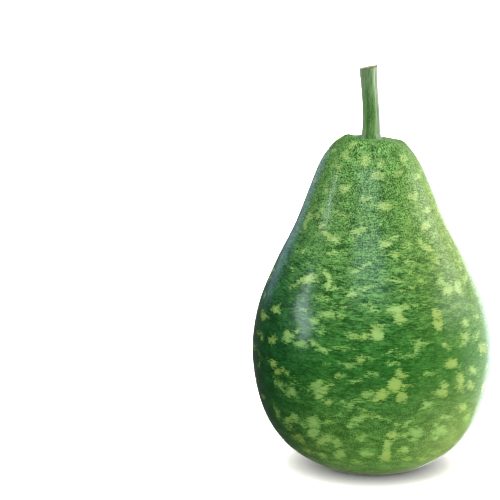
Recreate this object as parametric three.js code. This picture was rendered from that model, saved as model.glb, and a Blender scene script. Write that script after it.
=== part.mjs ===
// A pear-shaped bottle gourd as picked, standing on its blossom end with the cut
// stub of its stem on the crown. Millimetres, +Z up, the front faces -Y, and the
// origin is under the middle of the belly, on the surface that the gourd rests on.

import * as THREE from 'three';
import { mergeVertices } from 'three/addons/utils/BufferGeometryUtils.js';

// Driving dimensions of the fruit
const BELLY_RADIUS = 72.2;
const CROWN_HEIGHT = 200.4;
const FOOT_INNER_RADIUS = 13.5;
const FOOT_OUTER_RADIUS = 20.5;
const BLOSSOM_DIMPLE_DEPTH = 2.2;
const SEAT_RADIUS = 8.6;
const SEAT_DEPTH = 0.5;

// How the fruit departs from a body of revolution. Shares are of the crown height.
const CROWN_LEAN = 2.9;
const LEAN_FROM_SHARE = 0.3;
const LEAN_POWER = 1.5;
const CROWN_TILT = 0.09;
const CROWN_FROM_SHARE = 0.9;
const CROWN_FULL_SHARE = 0.99;
const CROWN_RIM_RADIUS = 13;
const SHOULDER_RADIUS = 21;
const LOBE_SWELL = 0.4;
const LOBES_FROM_SHARE = 0.8;
const LOBES_FULL_SHARE = 0.98;
const BELLY_OVAL = 0.006;

// Driving dimensions of the stem
const STEM_LENGTH = 41.8;
const STEM_RADIUS = 5.0;
const STEM_FOOT_RADIUS = 6.1;
const STEM_TOP_RADIUS = 5.3;
const STEM_OFFSET = 0.8;
const STEM_BEND = 2.0;
const BEND_FROM_SHARE = 0.2;
const STEM_TWIST = THREE.MathUtils.degToRad(10);
const RIB_COUNT = 5;
const RIB_DEPTH = 0.07;
const RIB_PHASE = THREE.MathUtils.degToRad(-54);
const CUT_SLANT = 0.19;
const SLANT_FROM_SHARE = 0.8;
const SLANT_FULL_SHARE = 0.96;
const CUT_RIM = 0.9;
const PITH_RADIUS = 2.4;
const PITH_DEPTH = 1.6;
const JOINT_GAP = 0.3;

const FRUIT_SEGMENTS = 64;
const STEM_SEGMENTS = 40;
const seatHeight = CROWN_HEIGHT - SEAT_DEPTH;

// Half outline of the fruit from its foot to its crown, as shares of the belly
// radius and of the crown height: a full belly low down and a blunt tapering neck.
const FULLNESS = [
  [0.39, 0.0065],
  [0.52, 0.0225],
  [0.76, 0.088],
  [0.928, 0.195],
  [1.0, 0.345],
  [0.943, 0.49],
  [0.8, 0.62],
  [0.63, 0.738],
  [0.512, 0.842],
  [0.41, 0.925],
  [0.31, 0.975],
  [0.256, 0.989],
  [0.18, 0.9985],
];

// Half outline of the stem above its foot, as shares of its radius and its length.
const STEM_TAPER = [
  [1.06, 0.09],
  [1.0, 0.26],
  [0.98, 0.72],
];

const smooth = (value, low, high) => THREE.MathUtils.smoothstep(value, low, high);

function ribWave(angle) {
  return Math.cos(RIB_COUNT * (angle - RIB_PHASE));
}

// Turns a half outline round the vertical axis and closes its seam and its poles.
function turned(outline, segments) {
  const geometry = new THREE.LatheGeometry(outline, segments);
  geometry.rotateX(Math.PI / 2);
  geometry.deleteAttribute('normal');
  geometry.deleteAttribute('uv');
  return mergeVertices(geometry, 1e-4);
}

// Moves each vertex to where reshape puts it, given its radius, angle and height.
function reshaped(geometry, reshape) {
  const position = geometry.getAttribute('position');
  for (let i = 0; i < position.count; i += 1) {
    const radius = Math.hypot(position.getX(i), position.getY(i));
    const angle = Math.atan2(position.getY(i), position.getX(i));
    position.setXYZ(i, ...reshape(radius, angle, position.getZ(i)));
  }
  geometry.computeVertexNormals();
  return geometry;
}

function fruitOutline() {
  const stations = FULLNESS.map(([width, height]) =>
    new THREE.Vector2(width * BELLY_RADIUS, height * CROWN_HEIGHT));
  const outline = new THREE.Path();
  outline.moveTo(0, BLOSSOM_DIMPLE_DEPTH);
  outline.quadraticCurveTo(FOOT_INNER_RADIUS / 2, BLOSSOM_DIMPLE_DEPTH, FOOT_INNER_RADIUS, 0);
  outline.lineTo(FOOT_OUTER_RADIUS, 0);
  outline.splineThru([...stations, new THREE.Vector2(SEAT_RADIUS, seatHeight)]);
  outline.lineTo(0, seatHeight);
  return outline.getPoints(3);
}

// The belly is a little oval, the neck leans left, and round the flat seat of the
// stem the crown falls to the right and swells into lobes in line with the ribs.
function fruitShape(radius, angle, height) {
  const share = height / CROWN_HEIGHT;
  const oval = 1 + BELLY_OVAL * Math.cos(2 * angle);
  const offSeat = smooth(radius, SEAT_RADIUS, CROWN_RIM_RADIUS);
  const lobed = offSeat * smooth(share, LOBES_FROM_SHARE, LOBES_FULL_SHARE);
  const swell = LOBE_SWELL * lobed * ribWave(angle);
  const onCrown = offSeat * smooth(share, CROWN_FROM_SHARE, CROWN_FULL_SHARE);
  const tilt = CROWN_TILT * (1 - smooth(radius, CROWN_RIM_RADIUS, SHOULDER_RADIUS));
  const grown = radius * oval + swell;
  const x = grown * Math.cos(angle);
  const y = grown * Math.sin(angle);
  const upNeck = Math.max(0, (share - LEAN_FROM_SHARE) / (1 - LEAN_FROM_SHARE));
  const lean = CROWN_LEAN * upNeck ** LEAN_POWER;
  return [x - lean, y, height + onCrown * (swell - tilt * x)];
}

function stemOutline() {
  const pithFloor = STEM_LENGTH - PITH_DEPTH;
  const stations = STEM_TAPER.map(([width, height]) =>
    new THREE.Vector2(width * STEM_RADIUS, height * STEM_LENGTH));
  const outline = new THREE.Path();
  outline.moveTo(0, 0);
  outline.lineTo(STEM_FOOT_RADIUS, 0);
  outline.splineThru([...stations, new THREE.Vector2(STEM_TOP_RADIUS, STEM_LENGTH)]);
  outline.lineTo(STEM_TOP_RADIUS - CUT_RIM, STEM_LENGTH + CUT_RIM / 3);
  outline.lineTo(PITH_RADIUS, STEM_LENGTH);
  outline.quadraticCurveTo(PITH_RADIUS / 2, pithFloor, 0, pithFloor);
  return outline.getPoints(4);
}

// Five rounded ribs turn a little on their way up, the stem bends left, and the
// cut across its end slants up to the right.
function stemShape(radius, angle, height) {
  const share = height / STEM_LENGTH;
  const ribbed = radius * (1 + RIB_DEPTH * ribWave(angle - STEM_TWIST * share));
  const x = ribbed * Math.cos(angle);
  const y = ribbed * Math.sin(angle);
  const bend = STEM_BEND * smooth(share, BEND_FROM_SHARE, 1);
  const slant = CUT_SLANT * smooth(share, SLANT_FROM_SHARE, SLANT_FULL_SHARE);
  return [x - bend, y, height + slant * x];
}

const group = new THREE.Group();

const fruit = new THREE.Mesh(
  reshaped(turned(fruitOutline(), FRUIT_SEGMENTS), fruitShape),
  new THREE.MeshStandardMaterial({ color: 0x568a43, roughness: 0.42, metalness: 0 }),
);
fruit.name = 'fruit';
group.add(fruit);

const stem = new THREE.Mesh(
  reshaped(turned(stemOutline(), STEM_SEGMENTS), stemShape),
  new THREE.MeshStandardMaterial({ color: 0x5b884c, roughness: 0.7, metalness: 0 }),
);
stem.name = 'stem';
stem.position.set(STEM_OFFSET - CROWN_LEAN, 0, seatHeight + JOINT_GAP);
group.add(stem);

export default group;
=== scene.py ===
import math
import random

import bmesh
import bpy
import numpy as np
from mathutils import Euler, Matrix, Quaternion, Vector, noise
from mathutils.bvhtree import BVHTree


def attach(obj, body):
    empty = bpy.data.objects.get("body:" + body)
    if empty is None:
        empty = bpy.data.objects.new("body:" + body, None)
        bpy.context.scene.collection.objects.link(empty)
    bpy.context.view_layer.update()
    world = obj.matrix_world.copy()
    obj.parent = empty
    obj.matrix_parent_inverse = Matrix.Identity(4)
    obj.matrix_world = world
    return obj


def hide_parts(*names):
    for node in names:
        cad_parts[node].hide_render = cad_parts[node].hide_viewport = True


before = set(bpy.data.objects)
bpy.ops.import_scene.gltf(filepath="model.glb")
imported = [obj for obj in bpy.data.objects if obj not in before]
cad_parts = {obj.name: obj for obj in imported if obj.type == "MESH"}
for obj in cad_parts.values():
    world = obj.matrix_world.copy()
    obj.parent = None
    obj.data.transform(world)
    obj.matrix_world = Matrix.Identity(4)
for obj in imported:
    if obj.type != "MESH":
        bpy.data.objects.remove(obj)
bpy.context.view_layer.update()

# Camera
# It stands about a metre in front of the gourd, a little to its left and above its
# stem, and looks straight along +Y and down, as the photograph's did.
MM = 0.001
SENSOR_WIDTH = 36
PHOTO_PIXELS = 500
CAMERA_PLACE = Vector((-73.85, -1074, 326)) * MM
CAMERA_DOWN = math.radians(10.23)
FOCAL_LENGTH = 131

camera_data = bpy.data.cameras.new("camera")
camera_data.sensor_width = SENSOR_WIDTH
camera_data.lens = FOCAL_LENGTH
camera = bpy.data.objects.new("camera", camera_data)
camera.location = CAMERA_PLACE
camera.rotation_euler = Euler((math.radians(90) - CAMERA_DOWN, 0, 0))
bpy.context.scene.collection.objects.link(camera)
bpy.context.scene.camera = camera


def sight(x, y):
    """The direction from the camera through a pixel of the photograph."""
    per_pixel = SENSOR_WIDTH / PHOTO_PIXELS / FOCAL_LENGTH
    ray = Vector(((x - PHOTO_PIXELS / 2) * per_pixel, (PHOTO_PIXELS / 2 - y) * per_pixel, -1))
    ray.rotate(camera.rotation_euler)
    return ray.normalized()


# Studio
# Plain soft studio light, strongest from the right and behind as in the photograph. The
# soft lights light the gourd, but do not show in its wax. The panels only show in its
# wax, so that the reflections lie where the photograph has them.


def linear(hex_colour):
    """An sRGB hex colour as the linear red, green, blue and alpha that nodes take."""
    parts = [int(hex_colour[i:i + 2], 16) / 255 for i in (1, 3, 5)]
    return [p / 12.92 if p < 0.04045 else ((p + 0.055) / 1.055) ** 2.4 for p in parts] + [1]


# Each soft light: where it comes from, its strength and its colour. All are spread over
# the same angle, in radians.
LIGHT_SPREAD = 1.0
SOFT_LIGHTS = [
    ("front above", (0, -0.75, 0.66), 1.7, "#f2fbff"),
    ("overhead", (0.1, 0.1, 1), 2.0, "#fbfdff"),
    ("left above", (-0.3, -0.4, 0.87), 0.7, "#eaf6ff"),
    ("right behind", (0.75, 0.65, 0.1), 5.4, "#fffdf6"),
    ("right low behind", (0.8, 0.3, -0.5), 3.6, "#fffaf0"),
    ("right low", (0.6, -0.3, -0.75), 1.6, "#fff8ea"),
    ("front low", (-0.3, -0.9, -0.4), 1.15, "#fff8ea"),
]

# Each panel: its place, width and height in metres, how many degrees it is turned, its
# power and its colour. All of them face the middle of the gourd.
PANELS = [
    ("front", (-0.13, -1.07, 1.12), (0.85, 0.4), 0, 3.7, "#c8e1ff"),
    ("left", (-1.23, -0.31, 0.45), (0.33, 0.64), 54, 6.4, "#e4f0ff"),
    ("left behind", (-0.78, 1.25, 0.34), (0.75, 0.4), 0, 0.9, "#b8d4ff"),
    ("window", (1.43, 0.07, 0.56), (1.2, 0.5), 0, 4.6, "#f4f8ff"),
    ("right wall", (1.38, 0.6, -0.15), (1.3, 0.9), 0, 2.9, "#fbfdff"),
    ("right behind", (0.55, 1.37, -0.22), (1.2, 0.9), 0, 9.0, "#f2f7ff"),
]
PANEL_AIM = Vector((0, 0, 0.12))
DIM_ROOM = 0.01

scene = bpy.context.scene
scene.view_settings.view_transform = "Standard"
room = bpy.data.worlds.new("dim room")
room.use_nodes = True
room.node_tree.nodes["Background"].inputs["Color"].default_value = (DIM_ROOM, DIM_ROOM, DIM_ROOM, 1)
scene.world = room


def hang(name, kind, place, turn, power, colour):
    """Hangs a light that faces along its own -Z, and gives back its data and its object."""
    data = bpy.data.lights.new(name, kind)
    data.energy = power
    data.color = linear(colour)[:3]
    light = bpy.data.objects.new(name, data)
    light.location = place
    light.rotation_euler = turn.to_euler()
    light.visible_camera = False
    scene.collection.objects.link(light)
    return data, light


for name, towards, strength, colour in SOFT_LIGHTS:
    turn = Vector(towards).to_track_quat("Z", "Y")
    data, light = hang(name, "SUN", towards, turn, strength, colour)
    data.angle = LIGHT_SPREAD
    light.visible_glossy = False

for name, place, size, roll, power, colour in PANELS:
    turn = (PANEL_AIM - Vector(place)).to_track_quat("-Z", "Y")
    turn = turn @ Quaternion((0, 0, 1), math.radians(roll))
    data, light = hang(name + " panel", "AREA", place, turn, power, colour)
    data.shape = "RECTANGLE"
    data.size, data.size_y = size
    light.visible_diffuse = False


# Floor
# A sheet of white matt card that fills the view and takes the soft shadow. It is far
# brighter than white, like the over-exposed ground of the photograph, but for a dark
# contact shadow close round the foot.
FLOOR_SIZE = 24
FLOOR_GAIN = 2.85
CONTACT_REACH = 27 * MM
CARD_FIBRE = MM / 0.9


def add(owner, kind, inputs=(), **settings):
    """Adds a node to a material. Each input is given as a value or a socket.

    An input goes by its name, or by its number where several have one name. In a Mix
    node 0 is the factor, 2 and 3 are the numbers it mixes, and 6 and 7 the colours. In a
    Map Range node 1 and 2 are the range that it takes, and 3 and 4 the one it gives.
    """
    made = owner.node_tree.nodes.new(kind)
    for name, value in settings.items():
        setattr(made, name, value)
    for name, value in dict(inputs).items():
        if isinstance(value, bpy.types.NodeSocket):
            owner.node_tree.links.new(value, made.inputs[name])
        else:
            made.inputs[name].default_value = value
    return made


def new_material(name):
    """An empty material with nodes, and its output."""
    material = bpy.data.materials.new(name)
    material.use_nodes = True
    material.node_tree.nodes.clear()
    return material, add(material, "ShaderNodeOutputMaterial")


# The card's fibre is drawn far coarser than a real one, which would not show.
card, card_out = new_material("white matt card")
fibre = add(card, "ShaderNodeTexNoise", {"Scale": 1 / CARD_FIBRE, "Detail": 2.0})
tone = add(card, "ShaderNodeMix", {0: fibre.outputs["Fac"], 6: linear("#f6f1e6"), 7: linear("#faf5ea")},
           data_type="RGBA").outputs[2]
openness = add(card, "ShaderNodeAmbientOcclusion", {"Distance": CONTACT_REACH}, samples=16).outputs["AO"]
shaded = add(card, "ShaderNodeMix", {0: openness, 6: linear("#14160d"), 7: tone},
             data_type="RGBA").outputs[2]
bright = add(card, "ShaderNodeVectorMath", {0: shaded, "Scale": FLOOR_GAIN}, operation="SCALE").outputs[0]
paper = add(card, "ShaderNodeBsdfDiffuse", {"Color": bright, "Roughness": 0.6})
card.node_tree.links.new(paper.outputs[0], card_out.inputs[0])

sheet = bmesh.new()
bmesh.ops.create_grid(sheet, x_segments=1, y_segments=1, size=FLOOR_SIZE / 2)
floor_mesh = bpy.data.meshes.new("floor")
sheet.to_mesh(floor_mesh)
sheet.free()
floor_mesh.materials.append(card)
floor = bpy.data.objects.new("floor", floor_mesh)
scene.collection.objects.link(floor)

# It throws no light back on the gourd, does not show in its shine, and lets the low
# lights through.
floor.visible_diffuse = False
floor.visible_glossy = False
floor.visible_shadow = False


# Fruit
# The whole gourd, one body that grew as it is: a full belly low down, a tapering neck
# that leans left and a blunt crown. Its skin is hard, smooth and waxy, dark green with
# yellow-green marks, finely grained near the crown and streaked round the middle.
BELLY_RADIUS = 72.2 * MM
CROWN_HEIGHT = 200.4 * MM
FOOT_INNER_RADIUS = 13.5 * MM
FOOT_OUTER_RADIUS = 20.5 * MM
BLOSSOM_DIMPLE_DEPTH = 2.2 * MM
SCAR_RADIUS = 2.4 * MM
SCAR_TIP = 1.1 * MM
SEAT_RADIUS = 8.6 * MM
SEAT_DEPTH = 0.5 * MM
CROWN_LEAN = 2.9 * MM
LEAN_FROM_SHARE = 0.3
LEAN_POWER = 1.5
CROWN_TILT = 0.09
CROWN_FROM_SHARE = 0.9
CROWN_FULL_SHARE = 0.99
CROWN_RIM_RADIUS = 13 * MM
SHOULDER_RADIUS = 21 * MM
LOBE_SWELL = 0.4 * MM
LOBES_FROM_SHARE = 0.8
LOBES_FULL_SHARE = 0.98
BELLY_OVAL = 0.006
RIB_COUNT = 5
RIB_PHASE = math.radians(-54)
RING_GAP = 1.2 * MM
FRUIT_STEPS = 340
SEAT_HEIGHT = CROWN_HEIGHT - SEAT_DEPTH

# Half outline from the foot to the crown, as shares of the belly radius and crown height.
FULLNESS = [
    (0.39, 0.0065),
    (0.52, 0.0225),
    (0.76, 0.088),
    (0.928, 0.195),
    (1.0, 0.345),
    (0.943, 0.49),
    (0.8, 0.62),
    (0.63, 0.738),
    (0.512, 0.842),
    (0.41, 0.925),
    (0.31, 0.975),
    (0.256, 0.989),
    (0.18, 0.9985),
]


def smooth(value, low, high):
    """Rises softly from 0 at low to 1 at high."""
    share = min(max((value - low) / (high - low), 0), 1)
    return share * share * (3 - 2 * share)


def rib_wave(angle):
    """1 along each of the five ribs and -1 in the grooves between them."""
    return math.cos(RIB_COUNT * (angle - RIB_PHASE))


def through(stations, gap):
    """Points about a gap apart on the smooth curve through some (radius, height) stations."""
    points = []
    padded = [stations[0], *stations, stations[-1]]
    for before, start, end, after in zip(padded, padded[1:], padded[2:], padded[3:]):
        before, start, end, after = (Vector(p) for p in (before, start, end, after))
        leave, arrive = (end - before) / 2, (after - start) / 2
        count = max(1, round((end - start).length / gap))
        for step in range(count):
            t = step / count
            points.append(start * (2 * t ** 3 - 3 * t ** 2 + 1) + end * (3 * t ** 2 - 2 * t ** 3)
                          + leave * (t ** 3 - 2 * t ** 2 + t) + arrive * (t ** 3 - t ** 2))
    return points + [Vector(stations[-1])]


def turned(outline, steps):
    """Turns a half outline, from axis to axis, all the way round +Z into a closed skin."""
    bm = bmesh.new()
    chain = [bm.verts.new((radius, 0, height)) for radius, height in outline]
    for lower, upper in zip(chain, chain[1:]):
        bm.edges.new((lower, upper))
    bmesh.ops.spin(bm, geom=bm.verts[:] + bm.edges[:], cent=(0, 0, 0), axis=(0, 0, 1),
                   angle=math.tau, steps=steps, use_merge=True)
    bmesh.ops.remove_doubles(bm, verts=bm.verts[:], dist=1e-6)
    bmesh.ops.recalc_face_normals(bm, faces=bm.faces[:])
    return bm


def reshape(bm, shape):
    """Moves each vertex to where shape puts it, given its radius, angle and height."""
    for vert in bm.verts:
        x, y, z = vert.co
        vert.co = shape(math.hypot(x, y), math.atan2(y, x), z)


def show(name, bm, material, node):
    """Makes a smooth-shaded piece of a bmesh, which rides on the root and replaces a CAD node."""
    for face in bm.faces:
        face.smooth = True
    mesh = bpy.data.meshes.new(name)
    bm.to_mesh(mesh)
    bm.free()
    mesh.materials.append(material)
    piece = bpy.data.objects.new(name, mesh)
    scene.collection.objects.link(piece)
    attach(piece, "root")
    if node:
        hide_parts(node)
    return piece


def keep(piece, name, values):
    """Keeps a number for each vertex of a piece, which its material can read."""
    kept = piece.data.attributes.new(name, "FLOAT", "POINT")
    kept.data.foreach_set("value", np.array(values, dtype=np.float32))


# The skin is a little wavy, except at the foot and on the crown. The waves begin and are
# full at these shares of the crown height from either end.
WAVE_SIZE = 38 * MM
WAVE_HEIGHT = 0.35 * MM
WAVY_ABOVE_FOOT = (0.02, 0.2)
WAVY_BELOW_CROWN = (0.01, 0.1)


def fruit_shape(radius, angle, height):
    """The fruit's place for a point of the turned outline: oval, leaning, lobed and wavy."""
    share = height / CROWN_HEIGHT
    off_seat = smooth(radius, SEAT_RADIUS, CROWN_RIM_RADIUS)
    lobed = off_seat * smooth(share, LOBES_FROM_SHARE, LOBES_FULL_SHARE)
    swell = LOBE_SWELL * lobed * rib_wave(angle)
    on_crown = off_seat * smooth(share, CROWN_FROM_SHARE, CROWN_FULL_SHARE)
    tilt = CROWN_TILT * (1 - smooth(radius, CROWN_RIM_RADIUS, SHOULDER_RADIUS))
    grown = radius * (1 + BELLY_OVAL * math.cos(2 * angle)) + swell
    x, y = grown * math.cos(angle), grown * math.sin(angle)
    up_neck = max(0, (share - LEAN_FROM_SHARE) / (1 - LEAN_FROM_SHARE))
    place = Vector((x - CROWN_LEAN * up_neck ** LEAN_POWER, y, height + on_crown * (swell - tilt * x)))
    waving = smooth(share, *WAVY_ABOVE_FOOT) * smooth(1 - share, *WAVY_BELOW_CROWN)
    wave = noise.noise(place / WAVE_SIZE) * WAVE_HEIGHT * waving
    return place - Vector((math.cos(angle), math.sin(angle), 0)) * (WAVE_HEIGHT / 2 - wave)


# The outline runs from the knob of the scar, over the hollow round it, the ring that the
# fruit rests on and the belly, to the flat seat of the stem.
stations = [(width * BELLY_RADIUS, height * CROWN_HEIGHT) for width, height in FULLNESS]
scar = through([(0, SCAR_TIP), (SCAR_RADIUS * 0.6, SCAR_TIP * 1.1),
                (SCAR_RADIUS, BLOSSOM_DIMPLE_DEPTH * 0.93),
                (SCAR_RADIUS * 1.5, BLOSSOM_DIMPLE_DEPTH * 0.98)], RING_GAP / 4)
dimple = through([scar[-1], (FOOT_INNER_RADIUS / 2, BLOSSOM_DIMPLE_DEPTH * 0.72), (FOOT_INNER_RADIUS, 0)],
                 RING_GAP)
body = through([(FOOT_OUTER_RADIUS, 0), *stations, (SEAT_RADIUS, SEAT_HEIGHT)], RING_GAP)
seat = through([(SEAT_RADIUS, SEAT_HEIGHT), (0, SEAT_HEIGHT)], RING_GAP)
fruit = turned(scar[:-1] + dimple + body + seat[1:], FRUIT_STEPS)
reshape(fruit, fruit_shape)
fruit.normal_update()

# The marks that face the viewer: x and y of the middle, width and height, all in pixels
# of the photograph, and how many degrees the mark rises to the right. PIXEL is what one
# pixel spans at the gourd.
PIXEL = 0.6 * MM
FRONT_MARKS = [
    (347, 156, 10, 10, 60), (365, 161, 13, 14, 0), (354, 146, 8, 7, 0), (380, 164, 8, 12, -20),
    (337, 166, 7, 10, 0), (336, 176, 5, 8, 0), (380, 176, 14, 11, 0), (404, 158, 9, 10, 0),
    (399, 173, 9, 7, 0), (343, 188, 12, 8, 0), (367, 199, 13, 7, 0), (412, 197, 12, 12, 0),
    (418, 176, 7, 11, -20), (326, 190, 6, 8, 0), (322, 211, 7, 5, 0), (308, 220, 22, 7, 64),
    (318, 217, 7, 5, -30), (320, 228, 12, 6, 45), (331, 237, 19, 9, -15), (343, 216, 14, 4, -5),
    (363, 228, 12, 7, -5), (357, 233, 14, 7, 15), (384, 206, 18, 10, 10), (428, 210, 8, 8, 0),
    (413, 213, 7, 5, 0), (425, 225, 11, 11, 0), (394, 239, 14, 5, 10), (385, 244, 15, 9, 15),
    (420, 243, 11, 6, -15), (428, 247, 14, 9, -25), (407, 246, 10, 6, 20), (303, 251, 10, 5, 10),
    (333, 253, 16, 4, 3), (396, 255, 16, 5, 0), (436, 257, 13, 6, 5), (438, 262, 8, 6, 0),
    (409, 262, 12, 5, 0), (458, 260, 7, 6, 0), (459, 268, 10, 7, 0), (402, 270, 10, 3, 0),
    (413, 274, 10, 4, 0), (466, 278, 7, 12, 0), (355, 270, 12, 4, 5), (366, 265, 15, 5, 25),
    (291, 269, 4, 7, 0), (309, 279, 16, 9, 5), (300, 282, 9, 5, -10), (294, 285, 7, 4, 0),
    (327, 276, 14, 9, -45), (329, 285, 10, 13, 0), (335, 289, 8, 5, 0), (393, 281, 18, 4, 3),
    (421, 282, 12, 4, 0), (351, 292, 15, 8, 10), (367, 288, 20, 5, 5), (323, 297, 15, 5, -8),
    (407, 289, 15, 4, 3), (442, 283, 13, 9, -40), (448, 291, 10, 12, -20), (458, 289, 9, 15, 25),
    (452, 281, 8, 4, 0), (276, 310, 10, 11, 0), (304, 311, 8, 4, 0), (341, 305, 12, 4, 0),
    (366, 306, 12, 4, 0), (374, 309, 15, 4, -10), (328, 314, 20, 9, 3), (339, 316, 12, 5, 20),
    (316, 321, 12, 7, -15), (321, 331, 10, 4, -20), (396, 309, 16, 11, 0), (407, 307, 16, 5, 3),
    (398, 315, 12, 9, 0), (400, 320, 12, 9, 0), (425, 303, 10, 3, 0), (436, 314, 9, 11, 0),
    (438, 325, 11, 12, 0), (465, 323, 10, 12, 0), (476, 317, 9, 8, 30), (298, 330, 7, 4, 0),
    (289, 336, 10, 10, 0), (286, 341, 9, 8, 0), (272, 341, 6, 9, 0), (300, 343, 14, 8, 10),
    (304, 347, 7, 4, 0), (313, 342, 9, 7, -20), (321, 349, 16, 7, -15), (341, 348, 20, 4, 3),
    (353, 336, 15, 9, 0), (365, 336, 9, 8, 10), (378, 327, 18, 5, 5), (377, 334, 13, 13, 0),
    (465, 337, 11, 9, 0), (477, 336, 9, 7, 45), (465, 345, 8, 5, 20), (445, 344, 7, 7, 0),
    (419, 344, 15, 8, 10), (416, 349, 9, 7, 0), (482, 348, 8, 12, 0), (410, 356, 24, 4, 2),
    (391, 352, 12, 4, 25), (393, 364, 13, 4, 0), (361, 360, 16, 7, 5), (370, 359, 10, 3, 0),
    (347, 364, 15, 6, 0), (452, 364, 15, 13, 0), (472, 371, 14, 10, -20), (272, 364, 13, 6, -50),
    (286, 372, 13, 4, -33), (278, 373, 7, 6, -20), (325, 364, 6, 3, -20), (339, 376, 12, 5, 5),
    (372, 375, 12, 4, 0), (355, 380, 12, 4, 0), (430, 374, 18, 6, 8), (280, 386, 14, 7, -60),
    (293, 391, 15, 9, -40), (287, 394, 11, 7, 0), (297, 396, 8, 4, -40), (296, 382, 7, 3, -10),
    (318, 384, 13, 9, 0), (316, 389, 22, 6, 3), (321, 391, 16, 9, 0), (329, 386, 8, 4, 30),
    (318, 397, 13, 8, 0), (329, 402, 13, 6, 5), (400, 375, 15, 9, -20), (395, 385, 13, 16, 0),
    (405, 386, 10, 4, 10), (460, 382, 10, 19, 0), (443, 385, 8, 10, 20), (441, 393, 13, 10, 0),
    (434, 393, 8, 3, 0), (471, 386, 8, 7, 0), (365, 394, 7, 8, 0), (382, 394, 17, 8, 12),
    (376, 399, 15, 5, 3), (371, 393, 7, 6, 0), (380, 391, 14, 3, 5), (402, 398, 14, 12, 10),
    (357, 401, 9, 4, 0), (345, 405, 12, 5, -35), (351, 408, 9, 7, 0), (426, 405, 13, 9, 10),
    (422, 409, 8, 5, 20), (463, 407, 11, 8, 45), (365, 410, 12, 3, -10), (276, 412, 16, 7, -65),
    (338, 415, 12, 5, 10), (328, 415, 6, 3, 0), (358, 420, 15, 9, 25), (365, 416, 11, 6, 5),
    (350, 425, 8, 7, 45), (295, 418, 10, 9, 0), (288, 421, 9, 7, 0), (290, 427, 9, 3, -40),
    (305, 424, 10, 5, -50), (314, 423, 12, 14, 0), (326, 422, 14, 5, -3), (314, 433, 12, 10, 0),
    (380, 418, 14, 3, -12), (395, 424, 10, 4, 0), (409, 422, 14, 6, 25), (445, 417, 13, 8, 0),
    (467, 418, 13, 10, 40), (456, 420, 7, 5, 0), (438, 424, 6, 7, 0), (416, 433, 17, 12, 5),
    (405, 435, 11, 7, 0), (414, 441, 9, 6, 20), (440, 431, 18, 9, 0), (436, 437, 11, 7, 30),
    (392, 435, 16, 8, 5), (396, 439, 11, 5, 20), (387, 444, 10, 13, 0), (386, 455, 12, 13, 0),
    (380, 457, 10, 6, 0), (404, 450, 11, 8, 0), (325, 439, 17, 9, 5), (322, 443, 12, 7, -20),
    (336, 443, 11, 10, -20), (296, 437, 9, 4, -40), (302, 442, 8, 4, -30), (364, 438, 12, 9, 0),
    (340, 455, 13, 11, 0), (367, 454, 15, 10, -15), (321, 455, 11, 6, -35), (308, 451, 12, 5, -30),
    (357, 464, 14, 5, 0), (408, 459, 12, 4, 0), (423, 459, 11, 7, 0), (431, 448, 13, 2, 35),
]

# Marks go on in the same way round the sides and the back. Each band: two shares of the
# fruit's height, how many marks are drawn between them all round, of which those in front
# are left out, and their least and greatest width and height in millimetres.
BANDS = [
    (0.76, 0.97, 40, (3.0, 6.5), (2.5, 5.5)),
    (0.55, 0.76, 62, (4.0, 10.0), (2.0, 4.5)),
    (0.3, 0.55, 100, (4.5, 13.0), (1.8, 6.0)),
    (0.05, 0.3, 96, (5.0, 11.0), (3.5, 8.0)),
]
DRAW_SEED = 7
RISE_SPREAD = 18
FRONT_HALF_ANGLE = math.radians(66)
MARK_REACH = 16 * MM
FIELD_REACH = 4.0


def mark(place, normal, wide, tall, rise):
    """A mark seen along its normal: its middle, its two directions, the normal and its sizes."""
    around = Vector((0, 0, 1)).cross(normal).normalized()
    up = normal.cross(around)
    turn = math.radians(rise)
    along = around * math.cos(turn) + up * math.sin(turn)
    return place, along, normal.cross(along), normal, wide, tall


# Each front mark is cast from the camera on to the skin, and is as wide and tall as the
# camera sees it. Each of the others lies along the skin.
skin_tree = BVHTree.FromBMesh(fruit)
marks = []
for x, y, wide, tall, rise in FRONT_MARKS:
    place = skin_tree.ray_cast(CAMERA_PLACE, sight(x, y))[0]
    if place:
        marks.append(mark(place, -sight(x, y), wide * PIXEL, tall * PIXEL, rise))

draw = random.Random(DRAW_SEED)
facing = math.atan2(CAMERA_PLACE.y, CAMERA_PLACE.x)
for low, high, count, widths, talls in BANDS:
    for _ in range(count):
        height = draw.uniform(low, high) * CROWN_HEIGHT
        angle = draw.uniform(-math.pi, math.pi)
        wide, tall, rise = draw.uniform(*widths), draw.uniform(*talls), draw.gauss(0, RISE_SPREAD)
        if abs(math.remainder(angle - facing, math.tau)) < FRONT_HALF_ANGLE:
            continue
        inward = Vector((-math.cos(angle), -math.sin(angle), 0))
        outside = Vector((0, 0, height)) - inward
        place, normal, _, _ = skin_tree.ray_cast(outside, inward)
        marks.append(mark(place, normal, wide * MM, tall * MM, rise))

# Each vertex keeps how deep inside a mark it lies, in mm, below 0 outside. The place is
# first shifted by a seeded noise, so that the marks come out ragged and no two are alike.
NOISE_SEED = 2
RAGGED_SIZE = 3.4 * MM
RAGGED_SHIFT = Vector((1.9, 1.9, 1.1)) * MM
COARSE_SIZE = 11 * MM
COARSE_SHIFT = 1.6 * MM
COARSE_START = Vector((5, 5, 5))

noise.seed_set(NOISE_SEED)
spots = []
for vert in fruit.verts:
    fine = noise.noise_vector(vert.co / RAGGED_SIZE)
    coarse = noise.noise_vector(vert.co / COARSE_SIZE + COARSE_START)
    spots.append(vert.co + fine * RAGGED_SHIFT + coarse * COARSE_SHIFT)
spots = np.array(spots)
depth = np.full(len(spots), -FIELD_REACH)
for place, along, across, out, wide, tall in marks:
    offset = spots - np.array(place)
    inside = 1 - np.hypot(offset @ along / (wide / 2), offset @ across / (tall / 2))
    inside *= min(wide, tall) / 2 / MM
    inside[np.abs(offset @ out) > MARK_REACH] = -FIELD_REACH
    depth = np.maximum(depth, inside)

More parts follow.
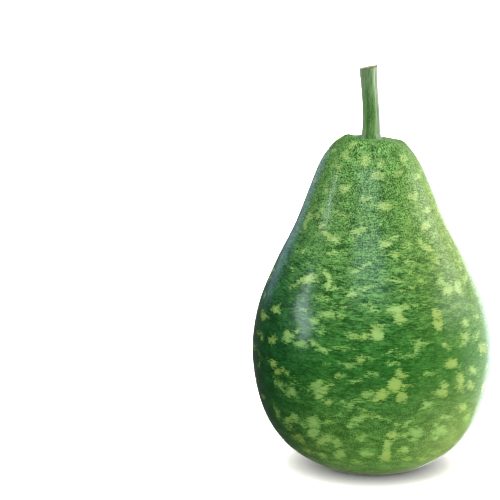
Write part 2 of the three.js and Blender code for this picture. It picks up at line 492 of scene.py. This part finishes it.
# Waxy rind: a thin natural wax over hard green rind. It shines softly, with broad
# highlights that its fine grain breaks up, and its sparse down turns it pale edge-on.
# The grain is 0.5 to 1 mm on a real one, as here.
GRAIN_SIZE = 0.65 * MM
STREAK_STRETCH = 5.0
PATCH_SIZE = 3.2 * MM
PATCH_STRETCH = 3.0
HIGH_PATCH_GROWTH = 1.5
RAY_RADIUS = 14 * MM
RAY_SQUEEZE = 0.45

# Where on the fruit each look begins and where it is full. The crown, the grain, the rays,
# the foot and its stain with painted contact shade go by height, and the paler right side
# and the painted shade on the left side by how far a place is to the right of the middle.
CROWN_FROM_HEIGHT = 68 * MM
CROWN_FULL_HEIGHT = 165 * MM
GRAINED_FROM_HEIGHT = 115 * MM
GRAINED_FULL_HEIGHT = 188 * MM
RAYED_FROM_HEIGHT = 188 * MM
RAYED_FULL_HEIGHT = 199 * MM
FOOT_FROM_HEIGHT = 85 * MM
FOOT_FULL_HEIGHT = 8 * MM
STAIN_AND_SHADE_HEIGHT = 9 * MM
RIGHT_SIDE_FROM = 2 * MM
RIGHT_SIDE_FULL = 50 * MM
PAINTED_SHADE_FROM = -25 * MM
PAINTED_SHADE_FULL = -66 * MM
CORK_RADIUS = 9 * MM
CORK_EDGE = 2.5 * MM
CORK_RAGGED = 5 * MM

# The ground: how much of it is streaks rather than grain, how far the patches shift it,
# the values between which it turns from dark to light, and how far painted light evens it
# out on the right.
STREAK_SHARE = 0.6
FOOT_STREAK_SHARE = 0.2
LOW_DRIFT = 0.17
HIGH_DRIFT = 0.11
DARK_TO_LIGHT = (0.42, 0.64)
PAINTED_LIGHT_CALM = 0.4
STAIN_AND_SHADE_STRENGTH = 0.8

# What the ground's colour is multiplied by on the right side, where it is partly its own
# paler colour and partly painted light, and on the left side, where it is painted shade,
# and what the marks' colour is multiplied by on the right side.
NO_CAST = (1, 1, 1, 1)
RIGHT_TONE_AND_LIGHT_CAST = (1.75, 1.17, 1.25, 1)
PAINTED_SHADE_CAST = (0.28, 0.56, 0.68, 1)
RIGHT_MARK_CAST = (0.95, 0.86, 0.82, 1)

# The marks: how far the grain frays them and how deep inside them their edge and their
# pale core lie, in millimetres, and how much they vary.
MARK_FRAY_STREAKS = 0.6
MARK_FRAY_MM = 9.0
MARK_EDGE_MM = (4.1, 5.3)
MARK_CORE_MM = (4.5, 6.6)
STRENGTH_SIZE = 13 * MM
STRENGTH_DRIFT = (0.36, 0.55)
FAINTEST = 0.8
LEAST_IN_GRAIN = 0.4
YELLOW_SIZE = 21 * MM
YELLOW_DRIFT = (0.48, 0.7)
YELLOWEST = 0.6

rind, rind_out = new_material("waxy gourd rind")
place = add(rind, "ShaderNodeTexCoord").outputs["Object"]
height = add(rind, "ShaderNodeSeparateXYZ", {0: place}).outputs["Z"]
to_right = add(rind, "ShaderNodeSeparateXYZ", {0: place}).outputs["X"]
depth_here = add(rind, "ShaderNodeAttribute", attribute_name="mark_depth").outputs["Fac"]
crown = add(rind, "ShaderNodeMapRange", {"Value": height, 1: CROWN_FROM_HEIGHT, 2: CROWN_FULL_HEIGHT},
            interpolation_type="SMOOTHSTEP").outputs[0]
grained = add(rind, "ShaderNodeMapRange", {"Value": height, 1: GRAINED_FROM_HEIGHT,
                                           2: GRAINED_FULL_HEIGHT}).outputs[0]
rayed = add(rind, "ShaderNodeMapRange", {"Value": height, 1: RAYED_FROM_HEIGHT,
                                         2: RAYED_FULL_HEIGHT}).outputs[0]
foot = add(rind, "ShaderNodeMapRange", {"Value": height, 1: FOOT_FROM_HEIGHT, 2: FOOT_FULL_HEIGHT},
           interpolation_type="SMOOTHSTEP").outputs[0]

# The grain is round, but is drawn out into rays close round the stem, and level streaks
# lie over it on the belly.
even = add(rind, "ShaderNodeTexNoise", {"Vector": place, "Scale": 1 / GRAIN_SIZE, "Detail": 1.5,
                                        "Roughness": 0.6}).outputs["Fac"]
centred = add(rind, "ShaderNodeVectorMath", {0: place, 1: (CROWN_LEAN, 0, 0)}, operation="ADD").outputs[0]
flat = add(rind, "ShaderNodeVectorMath", {0: centred, 1: (1, 1, 0)}, operation="MULTIPLY").outputs[0]
heading = add(rind, "ShaderNodeVectorMath", {0: flat}, operation="NORMALIZE").outputs[0]
outward = add(rind, "ShaderNodeVectorMath", {0: heading, "Scale": RAY_RADIUS}, operation="SCALE").outputs[0]
drawn_out = add(rind, "ShaderNodeVectorMath", {0: flat, 1: (RAY_SQUEEZE, RAY_SQUEEZE, 0), 2: outward},
                operation="MULTIPLY_ADD").outputs[0]
rays = add(rind, "ShaderNodeTexNoise", {"Vector": drawn_out, "Scale": 1 / GRAIN_SIZE, "Detail": 1.0,
                                        "Roughness": 0.5}).outputs["Fac"]
grain = add(rind, "ShaderNodeMix", {0: rayed, 2: even, 3: rays}).outputs[0]
lying = add(rind, "ShaderNodeMapping", {"Vector": place,
                                        "Scale": (1 / STREAK_STRETCH, 1 / STREAK_STRETCH, 1)}).outputs[0]
streaks = add(rind, "ShaderNodeTexNoise", {"Vector": lying, "Scale": 1 / GRAIN_SIZE, "Detail": 1.5,
                                           "Roughness": 0.6}).outputs["Fac"]
lying = add(rind, "ShaderNodeMapping", {"Vector": place,
                                        "Scale": (1 / PATCH_STRETCH, 1 / PATCH_STRETCH, 1)}).outputs[0]
low_patches = add(rind, "ShaderNodeTexNoise", {"Vector": lying, "Scale": 1 / PATCH_SIZE,
                                               "Detail": 2.0}).outputs["Fac"]
high_patches = add(rind, "ShaderNodeTexNoise", {
    "Vector": place, "Scale": 1 / PATCH_SIZE / HIGH_PATCH_GROWTH, "Detail": 2.0}).outputs["Fac"]

# How light the ground is: finely streaked on the belly, more strongly grained above and
# again towards the foot, and calmer on the right, where painted light washes it out.
streaked = add(rind, "ShaderNodeMapRange", {"Value": foot, 3: STREAK_SHARE,
                                            4: FOOT_STREAK_SHARE}).outputs[0]
both = add(rind, "ShaderNodeMix", {0: streaked, 2: grain, 3: streaks}).outputs[0]
speckle = add(rind, "ShaderNodeMix", {0: grained, 2: both, 3: grain}).outputs[0]
low_drift = add(rind, "ShaderNodeMapRange", {"Value": low_patches, 3: -LOW_DRIFT,
                                             4: LOW_DRIFT}).outputs[0]
high_drift = add(rind, "ShaderNodeMapRange", {"Value": high_patches, 3: -HIGH_DRIFT,
                                              4: HIGH_DRIFT}).outputs[0]
patches = add(rind, "ShaderNodeMix", {0: grained, 2: low_drift, 3: high_drift}).outputs[0]
speckle = add(rind, "ShaderNodeMath", {0: patches, 1: speckle}, operation="ADD").outputs[0]
lightness = add(rind, "ShaderNodeMapRange", {"Value": speckle, 1: DARK_TO_LIGHT[0],
                                             2: DARK_TO_LIGHT[1]}).outputs[0]
# Painted light: the grain is evened out towards the right side.
painted_light_calm = add(rind, "ShaderNodeMapRange", {"Value": to_right, 1: RIGHT_SIDE_FROM, 2: RIGHT_SIDE_FULL,
                                        4: PAINTED_LIGHT_CALM}).outputs[0]
lightness = add(rind, "ShaderNodeMix", {0: painted_light_calm, 2: lightness, 3: 0.5}).outputs[0]
dark_above = add(rind, "ShaderNodeMix", {0: crown, 6: linear("#1d5417"), 7: linear("#15440e")},
                 data_type="RGBA").outputs[2]
dark = add(rind, "ShaderNodeMix", {0: foot, 6: dark_above, 7: linear("#396327")},
           data_type="RGBA").outputs[2]
light_above = add(rind, "ShaderNodeMix", {0: crown, 6: linear("#3d8637"), 7: linear("#96cf6f")},
                  data_type="RGBA").outputs[2]
light_tone = add(rind, "ShaderNodeMix", {0: foot, 6: light_above, 7: linear("#7cb25a")},
                 data_type="RGBA").outputs[2]
ground = add(rind, "ShaderNodeMix", {0: lightness, 6: dark, 7: light_tone}, data_type="RGBA").outputs[2]

# The foot is browner and darker where the fruit rests: partly a brown stain, and partly
# painted contact shade.
stain_and_shade = add(rind, "ShaderNodeMapRange", {"Value": height, 1: STAIN_AND_SHADE_HEIGHT, 2: 0.0, 4: STAIN_AND_SHADE_STRENGTH},
            interpolation_type="SMOOTHSTEP").outputs[0]
brown = add(rind, "ShaderNodeMix", {0: lightness, 6: linear("#45431b"), 7: linear("#77733c")},
            data_type="RGBA").outputs[2]
ground = add(rind, "ShaderNodeMix", {0: stain_and_shade, 6: ground, 7: brown}, data_type="RGBA").outputs[2]

# The right side is yellower and paler than the left: partly the skin's own colour and
# partly painted light. The left side is darkened with painted shade.
# The right side is painted paler and yellower: partly its own colour, partly painted light.
right_tone_and_light = add(rind, "ShaderNodeMapRange", {"Value": to_right, 1: RIGHT_SIDE_FROM, 2: RIGHT_SIDE_FULL},
            interpolation_type="SMOOTHSTEP").outputs[0]
# The left side is darkened with painted shade.
painted_shade = add(rind, "ShaderNodeMapRange", {"Value": to_right, 1: PAINTED_SHADE_FROM, 2: PAINTED_SHADE_FULL},
            interpolation_type="SMOOTHSTEP").outputs[0]
cast = add(rind, "ShaderNodeMix", {0: right_tone_and_light, 6: NO_CAST, 7: RIGHT_TONE_AND_LIGHT_CAST}, data_type="RGBA").outputs[2]
cast = add(rind, "ShaderNodeMix", {0: painted_shade, 6: cast, 7: PAINTED_SHADE_CAST}, data_type="RGBA").outputs[2]
ground = add(rind, "ShaderNodeMix", {0: 1.0, 6: ground, 7: cast}, data_type="RGBA",
             blend_type="MULTIPLY").outputs[2]

# Marks: frayed by the streaks and the grain, mid green at the rim and paler inside, and
# half lost in the grain towards the crown. Some are fainter and some are yellower.
edge = add(rind, "ShaderNodeMix", {0: MARK_FRAY_STREAKS, 2: grain, 3: streaks}).outputs[0]
frayed = add(rind, "ShaderNodeMath", {0: edge, 1: MARK_FRAY_MM, 2: depth_here},
             operation="MULTIPLY_ADD").outputs[0]
drift = add(rind, "ShaderNodeTexNoise", {"Vector": place, "Scale": 1 / STRENGTH_SIZE,
                                         "Detail": 1.0}).outputs["Fac"]
inside = add(rind, "ShaderNodeMapRange", {"Value": frayed, 1: MARK_EDGE_MM[0], 2: MARK_EDGE_MM[1]},
             interpolation_type="SMOOTHSTEP").outputs[0]
strength = add(rind, "ShaderNodeMapRange", {"Value": drift, 1: STRENGTH_DRIFT[0], 2: STRENGTH_DRIFT[1],
                                            3: FAINTEST, 4: 1.0}).outputs[0]
in_grain = add(rind, "ShaderNodeMapRange", {"Value": lightness, 3: LEAST_IN_GRAIN, 4: 1.0}).outputs[0]
seen = add(rind, "ShaderNodeMix", {0: grained, 2: 1.0, 3: in_grain}).outputs[0]
seen = add(rind, "ShaderNodeMath", {0: seen, 1: strength}, operation="MULTIPLY").outputs[0]
seen = add(rind, "ShaderNodeMath", {0: inside, 1: seen}, operation="MULTIPLY").outputs[0]
core = add(rind, "ShaderNodeMapRange", {"Value": frayed, 1: MARK_CORE_MM[0],
                                        2: MARK_CORE_MM[1]}).outputs[0]
mark_rim = add(rind, "ShaderNodeMix", {0: crown, 6: linear("#67a147"), 7: linear("#86b55f")},
               data_type="RGBA").outputs[2]
mark_core = add(rind, "ShaderNodeMix", {0: crown, 6: linear("#96c36f"), 7: linear("#c4e08a")},
                data_type="RGBA").outputs[2]
mark_colour = add(rind, "ShaderNodeMix", {0: core, 6: mark_rim, 7: mark_core},
                  data_type="RGBA").outputs[2]
hue = add(rind, "ShaderNodeTexNoise", {"Vector": centred, "Scale": 1 / YELLOW_SIZE,
                                       "Detail": 1.0}).outputs["Fac"]
yellow = add(rind, "ShaderNodeMapRange", {"Value": hue, 1: YELLOW_DRIFT[0], 2: YELLOW_DRIFT[1],
                                          4: YELLOWEST}).outputs[0]
mark_colour = add(rind, "ShaderNodeMix", {0: yellow, 6: mark_colour, 7: linear("#a3bf5b")},
                  data_type="RGBA").outputs[2]
# On the right side the marks are made a little darker.
right_marks_cast = add(rind, "ShaderNodeMix", {0: right_tone_and_light, 6: NO_CAST, 7: RIGHT_MARK_CAST},
              data_type="RGBA").outputs[2]
mark_colour = add(rind, "ShaderNodeMix", {0: 1.0, 6: mark_colour, 7: right_marks_cast}, data_type="RGBA",
                  blend_type="MULTIPLY").outputs[2]
colour = add(rind, "ShaderNodeMix", {0: seen, 6: ground, 7: mark_colour}, data_type="RGBA").outputs[2]

# The blossom scar under the foot is brown cork.
from_middle = add(rind, "ShaderNodeVectorMath", {0: place}, operation="LENGTH").outputs["Value"]
ragged = add(rind, "ShaderNodeMath", {0: high_patches, 1: CORK_RAGGED, 2: from_middle},
             operation="MULTIPLY_ADD").outputs[0]
corky = add(rind, "ShaderNodeMapRange", {"Value": ragged, 1: CORK_RADIUS,
                                         2: CORK_RADIUS - CORK_EDGE}).outputs[0]
cork = add(rind, "ShaderNodeMix", {0: even, 6: linear("#5b452b"), 7: linear("#a38b62")},
           data_type="RGBA").outputs[2]
colour = add(rind, "ShaderNodeMix", {0: corky, 6: colour, 7: cork}, data_type="RGBA").outputs[2]

fine_bump = add(rind, "ShaderNodeBump", {"Height": grain, "Strength": 0.3,
                                         "Distance": 0.1 * MM}).outputs[0]
wax = add(rind, "ShaderNodeBsdfPrincipled", {
    "Base Color": colour, "Roughness": 0.4, "IOR": 1.45, "Specular IOR Level": 0.16, "Normal": fine_bump,
    "Coat Weight": 0.6, "Coat Roughness": 0.16, "Coat IOR": 1.4, "Coat Normal": fine_bump,
    "Sheen Weight": 0.12, "Sheen Roughness": 0.3})
rind.node_tree.links.new(wax.outputs[0], rind_out.inputs[0])

# No green light bounces off it on to the card: the over-exposed photograph shows none.
fruit_piece = show("fruit_skin", fruit, rind, "fruit")
fruit_piece.visible_diffuse = False
keep(fruit_piece, "mark_depth", depth)


# Stem
# The cut stub of the stem, green and fibrous, which flares where it grows out of the
# crown. Five rounded ribs with narrow grooves between them twist a little on their way
# up. It was cut aslant with a knife, and the rim of the cut has dried and frayed.
STEM_LENGTH = 41.8 * MM
STEM_RADIUS = 5.0 * MM
STEM_FOOT_RADIUS = 6.1 * MM
STEM_TOP_RADIUS = 5.3 * MM
STEM_OFFSET = 0.8 * MM
STEM_BEND = 2.0 * MM
BEND_FROM_SHARE = 0.2
STEM_TWIST = math.radians(10)
RIB_DEPTH = 0.07
GROOVE_POWER = 2.4
GROOVE_TURN = math.radians(28)
CUT_SLANT = 0.19
SLANT_FROM_SHARE = 0.8
SLANT_FULL_SHARE = 0.96
CUT_RIM = 0.9 * MM
PITH_RADIUS = 2.4 * MM
PITH_DEPTH = 1.6 * MM
JOINT_GAP = 0.3 * MM
ROOT_DEPTH = 1.5 * MM
STEM_STEPS = 200
STEM_RING_GAP = 0.45 * MM
STEM_TAPER = [
    (1.06, 0.09),
    (1.0, 0.26),
    (0.98, 0.72),
]
FIBRE_SIZE = Vector((0.8, 0.8, 14)) * MM
FIBRE_DEPTH = 0.16 * MM
FRAY_SIZE = 1.1 * MM
FRAY_DEPTH = 0.6 * MM
FRAY_FROM_SHARE = 0.95


def into_groove(angle, height):
    """How far from rib to groove a place on the stem is: 0 on a rib and 1 in a groove."""
    return (1 - rib_wave(angle + GROOVE_TURN - STEM_TWIST * height / STEM_LENGTH)) / 2


def stem_shape(radius, angle, height):
    """The stem's place for a point of the turned outline: ribbed, fibrous, bent and frayed."""
    share = height / STEM_LENGTH
    groove = into_groove(angle, height) ** GROOVE_POWER
    around = Vector((math.cos(angle), math.sin(angle), 0)) * radius
    spot = around + Vector((0, 0, height))
    fibre = noise.noise(Vector([a / b for a, b in zip(spot, FIBRE_SIZE)])) / 2 + 0.5
    inward = FIBRE_DEPTH * fibre * smooth(radius, 0, STEM_RADIUS)
    x, y, _ = around * (1 + RIB_DEPTH * (1 - 2 * groove)) - around.normalized() * inward
    bend = STEM_BEND * smooth(share, BEND_FROM_SHARE, 1)
    slant = CUT_SLANT * smooth(share, SLANT_FROM_SHARE, SLANT_FULL_SHARE)
    fray = FRAY_DEPTH * (noise.noise(around / FRAY_SIZE) / 2 + 0.5) * smooth(share, FRAY_FROM_SHARE, 1)
    base = Vector((STEM_OFFSET - CROWN_LEAN, 0, SEAT_HEIGHT + JOINT_GAP))
    return base + Vector((x - bend, y, height + slant * x - fray))


taper = [(width * STEM_RADIUS, height * STEM_LENGTH) for width, height in STEM_TAPER]
side = through([(STEM_FOOT_RADIUS, -ROOT_DEPTH), (STEM_FOOT_RADIUS, 0), *taper,
                (STEM_TOP_RADIUS, STEM_LENGTH)], STEM_RING_GAP)
cut = through([(STEM_TOP_RADIUS, STEM_LENGTH), (STEM_TOP_RADIUS - CUT_RIM, STEM_LENGTH + CUT_RIM / 3),
               (PITH_RADIUS, STEM_LENGTH), (PITH_RADIUS / 2, STEM_LENGTH - PITH_DEPTH),
               (0, STEM_LENGTH - PITH_DEPTH)], STEM_RING_GAP)
stem = turned([Vector((0, -ROOT_DEPTH))] + side + cut[1:], STEM_STEPS)

# Each vertex keeps where on the stem it lies, before the stem is bent: the distances from
# the axis, below the cut and to the right are in millimetres.
stem_places = [vert.co.copy() for vert in stem.verts]
stem_values = {
    "from_axis": [math.hypot(at.x, at.y) / MM for at in stem_places],
    "below_cut": [(STEM_LENGTH - at.z) / MM for at in stem_places],
    "in_groove": [into_groove(math.atan2(at.y, at.x), at.z) for at in stem_places],
    "to_right": [at.x / MM for at in stem_places],
}
reshape(stem, stem_shape)
stem.normal_update()

# Fibrous stem tissue: long fibres under a dull green skin, with painted shade darkening
# its grooves. The cut shows paler wood round a brown hollow pith, and its rim is dry. Real
# fibres are 0.1 to 0.3 mm wide: these are as wide as they have to be to show.
FIBRE_WIDTH = 0.7 * MM
FIBRE_UPRIGHT = 0.06
FIBRE_CONTRAST = (0.36, 0.64)
BLOTCH_SIZE = 5 * MM
GROOVE_SHADE = 0.55

# Where the skin is painted pale as a sheen at its left and right edges and towards the cut,
# how much of it is, where it is dry below the cut, and how wide the cut and its hollow
# are, in millimetres.
SHEEN_RIGHT_EDGE_MM = (1.4, 4.8)
SHEEN_LEFT_EDGE_MM = (-3.2, -5.0)
PAINTED_SHEEN_SIDES = 0.7
PALER_NEAR_CUT_MM = (26.0, 2.0)
PALER_NEAR_CUT = 0.3
SHEEN_AND_PALE_MOST = 0.62
DRY_RIM_MM = (2.6, 0.9)
DRY_RAGGED_MM = 2.2
DRY_MOST = 0.9
HOLLOW_MM = (2.7, 1.9)
CUT_FACE_MM = (4.8, 4.3)

fibre_green, fibre_out = new_material("fibrous green stem")
place = add(fibre_green, "ShaderNodeTexCoord").outputs["Object"]
axis_distance = add(fibre_green, "ShaderNodeAttribute", attribute_name="from_axis").outputs["Fac"]
cut_distance = add(fibre_green, "ShaderNodeAttribute", attribute_name="below_cut").outputs["Fac"]
groove = add(fibre_green, "ShaderNodeAttribute", attribute_name="in_groove").outputs["Fac"]
upright = add(fibre_green, "ShaderNodeMapping", {"Vector": place, "Scale": (1.0, 1.0, FIBRE_UPRIGHT)})
fibres = add(fibre_green, "ShaderNodeTexNoise", {"Vector": upright.outputs[0], "Scale": 1 / FIBRE_WIDTH,
                                                 "Detail": 3.0, "Roughness": 0.6}).outputs["Fac"]
blotches = add(fibre_green, "ShaderNodeTexNoise", {"Vector": place, "Scale": 1 / BLOTCH_SIZE,
                                                   "Detail": 3.0}).outputs["Fac"]
contrast = add(fibre_green, "ShaderNodeMapRange", {"Value": fibres, 1: FIBRE_CONTRAST[0],
                                                   2: FIBRE_CONTRAST[1]}).outputs[0]
green = add(fibre_green, "ShaderNodeMix", {0: contrast, 6: linear("#346922"), 7: linear("#72a254")},
            data_type="RGBA").outputs[2]
# Painted shade darkens the grooves.
shaded = add(fibre_green, "ShaderNodeMapRange", {"Value": groove, 1: 0.5, 2: 1.0, 4: GROOVE_SHADE},
             interpolation_type="SMOOTHSTEP").outputs[0]
green = add(fibre_green, "ShaderNodeMix", {0: shaded, 6: green, 7: linear("#2a561a")},
            data_type="RGBA").outputs[2]

# Painted sheen: the skin is painted pale along its fibres at its left and right edges, and
# it is also paler towards the cut.
across = add(fibre_green, "ShaderNodeAttribute", attribute_name="to_right").outputs["Fac"]
# The pale left and right edges are a painted sheen.
right_edge_sheen = add(fibre_green, "ShaderNodeMapRange", {
    "Value": across, 1: SHEEN_RIGHT_EDGE_MM[0], 2: SHEEN_RIGHT_EDGE_MM[1], 4: PAINTED_SHEEN_SIDES}).outputs[0]
left_edge_sheen = add(fibre_green, "ShaderNodeMapRange", {
    "Value": across, 1: SHEEN_LEFT_EDGE_MM[0], 2: SHEEN_LEFT_EDGE_MM[1], 4: PAINTED_SHEEN_SIDES}).outputs[0]
high = add(fibre_green, "ShaderNodeMapRange", {
    "Value": cut_distance, 1: PALER_NEAR_CUT_MM[0], 2: PALER_NEAR_CUT_MM[1], 4: PALER_NEAR_CUT}).outputs[0]
sheen_and_pale = add(fibre_green, "ShaderNodeMath", {0: right_edge_sheen, 1: left_edge_sheen}, operation="ADD").outputs[0]
sheen_and_pale = add(fibre_green, "ShaderNodeMath", {0: sheen_and_pale, 1: high}, operation="ADD", use_clamp=True).outputs[0]
sheen_and_pale = add(fibre_green, "ShaderNodeMath", {0: sheen_and_pale, 1: contrast, 2: sheen_and_pale},
             operation="MULTIPLY_ADD").outputs[0]
sheen_and_pale = add(fibre_green, "ShaderNodeMath", {0: sheen_and_pale, 1: SHEEN_AND_PALE_MOST}, operation="MULTIPLY",
             use_clamp=True).outputs[0]
green = add(fibre_green, "ShaderNodeMix", {0: sheen_and_pale, 6: green, 7: linear("#a9b9a1")},
            data_type="RGBA").outputs[2]

# The rim of the cut is dry, and its face is paler wood round the brown hollow.
frayed = add(fibre_green, "ShaderNodeMath", {0: blotches, 1: DRY_RAGGED_MM, 2: cut_distance},
             operation="MULTIPLY_ADD").outputs[0]
dry = add(fibre_green, "ShaderNodeMapRange", {"Value": frayed, 1: DRY_RIM_MM[0], 2: DRY_RIM_MM[1],
                                              4: DRY_MOST}).outputs[0]
side_colour = add(fibre_green, "ShaderNodeMix", {0: dry, 6: green, 7: linear("#75745a")},
                  data_type="RGBA").outputs[2]
wood = add(fibre_green, "ShaderNodeMix", {0: contrast, 6: linear("#8f9a63"), 7: linear("#c3c79a")},
           data_type="RGBA").outputs[2]
hollow = add(fibre_green, "ShaderNodeMapRange", {"Value": axis_distance, 1: HOLLOW_MM[0],
                                                 2: HOLLOW_MM[1]}).outputs[0]
cut_colour = add(fibre_green, "ShaderNodeMix", {0: hollow, 6: wood, 7: linear("#6a5637")},
                 data_type="RGBA").outputs[2]
on_cut = add(fibre_green, "ShaderNodeMapRange", {"Value": axis_distance, 1: CUT_FACE_MM[0],
                                                 2: CUT_FACE_MM[1]}).outputs[0]
colour = add(fibre_green, "ShaderNodeMix", {0: on_cut, 6: side_colour, 7: cut_colour},
             data_type="RGBA").outputs[2]
fibre_bump = add(fibre_green, "ShaderNodeBump", {"Height": fibres, "Strength": 0.5,
                                                 "Distance": 0.25 * MM}).outputs[0]
stalk = add(fibre_green, "ShaderNodeBsdfPrincipled", {
    "Base Color": colour, "Roughness": 0.6, "IOR": 1.45, "Specular IOR Level": 0.3, "Normal": fibre_bump,
    "Sheen Weight": 0.4, "Sheen Roughness": 0.35, "Sheen Tint": linear("#eef4ee")})
fibre_green.node_tree.links.new(stalk.outputs[0], fibre_out.inputs[0])

# Down grows on the stem's sides, but neither on the cut nor at the very foot.
DOWN_UPMOST_SLOPE = 0.4
DOWN_ABOVE_SEAT = 2 * MM
down_spots = [(face.calc_center_median(), face.normal.copy()) for face in stem.faces
              if face.normal.z < DOWN_UPMOST_SLOPE
              and face.calc_center_median().z > SEAT_HEIGHT + DOWN_ABOVE_SEAT]
stem_piece = show("stem_stub", stem, fibre_green, "stem")
for name, values in stem_values.items():
    keep(stem_piece, name, values)


# Stem hairs
# The short stiff down of a young stem, which grew from its skin and stands straight out
# all round. Each hair is a three-sided spike that tapers to a point. It is drawn about
# twice as thick as a real one, so that it shows.
HAIR_COUNT = 1200
HAIR_LENGTHS = (0.5 * MM, 1.3 * MM)
HAIR_THICKNESS = 0.09 * MM
HAIR_SPREAD = 0.35
HAIR_TONE_SIZE = 3 * MM

hairs = bmesh.new()
for place, outward in draw.sample(down_spots, HAIR_COUNT):
    leaning = outward + Vector([draw.gauss(0, HAIR_SPREAD) for _ in range(3)])
    length = draw.uniform(*HAIR_LENGTHS)
    turn = leaning.to_track_quat("Z", "Y").to_matrix().to_4x4()
    middle = Matrix.Translation(place + leaning.normalized() * length / 2)
    bmesh.ops.create_cone(hairs, cap_ends=True, segments=3, radius1=HAIR_THICKNESS / 2, radius2=0,
                          depth=length, matrix=middle @ turn)

# Plant hair is colourless and scatters the light, so that it looks pale.
down, down_out = new_material("pale plant hair")
hue = add(down, "ShaderNodeTexNoise", {"Vector": add(down, "ShaderNodeTexCoord").outputs["Object"],
                                       "Scale": 1 / HAIR_TONE_SIZE, "Detail": 2.0}).outputs["Fac"]
pale = add(down, "ShaderNodeMix", {0: hue, 6: linear("#a9b89f"), 7: linear("#dde4d6")},
           data_type="RGBA").outputs[2]
spike = add(down, "ShaderNodeBsdfPrincipled", {"Base Color": pale, "Roughness": 0.5, "IOR": 1.5,
                                               "Specular IOR Level": 0.3})
down.node_tree.links.new(spike.outputs[0], down_out.inputs[0])
show("stem_hairs", hairs, down, None)
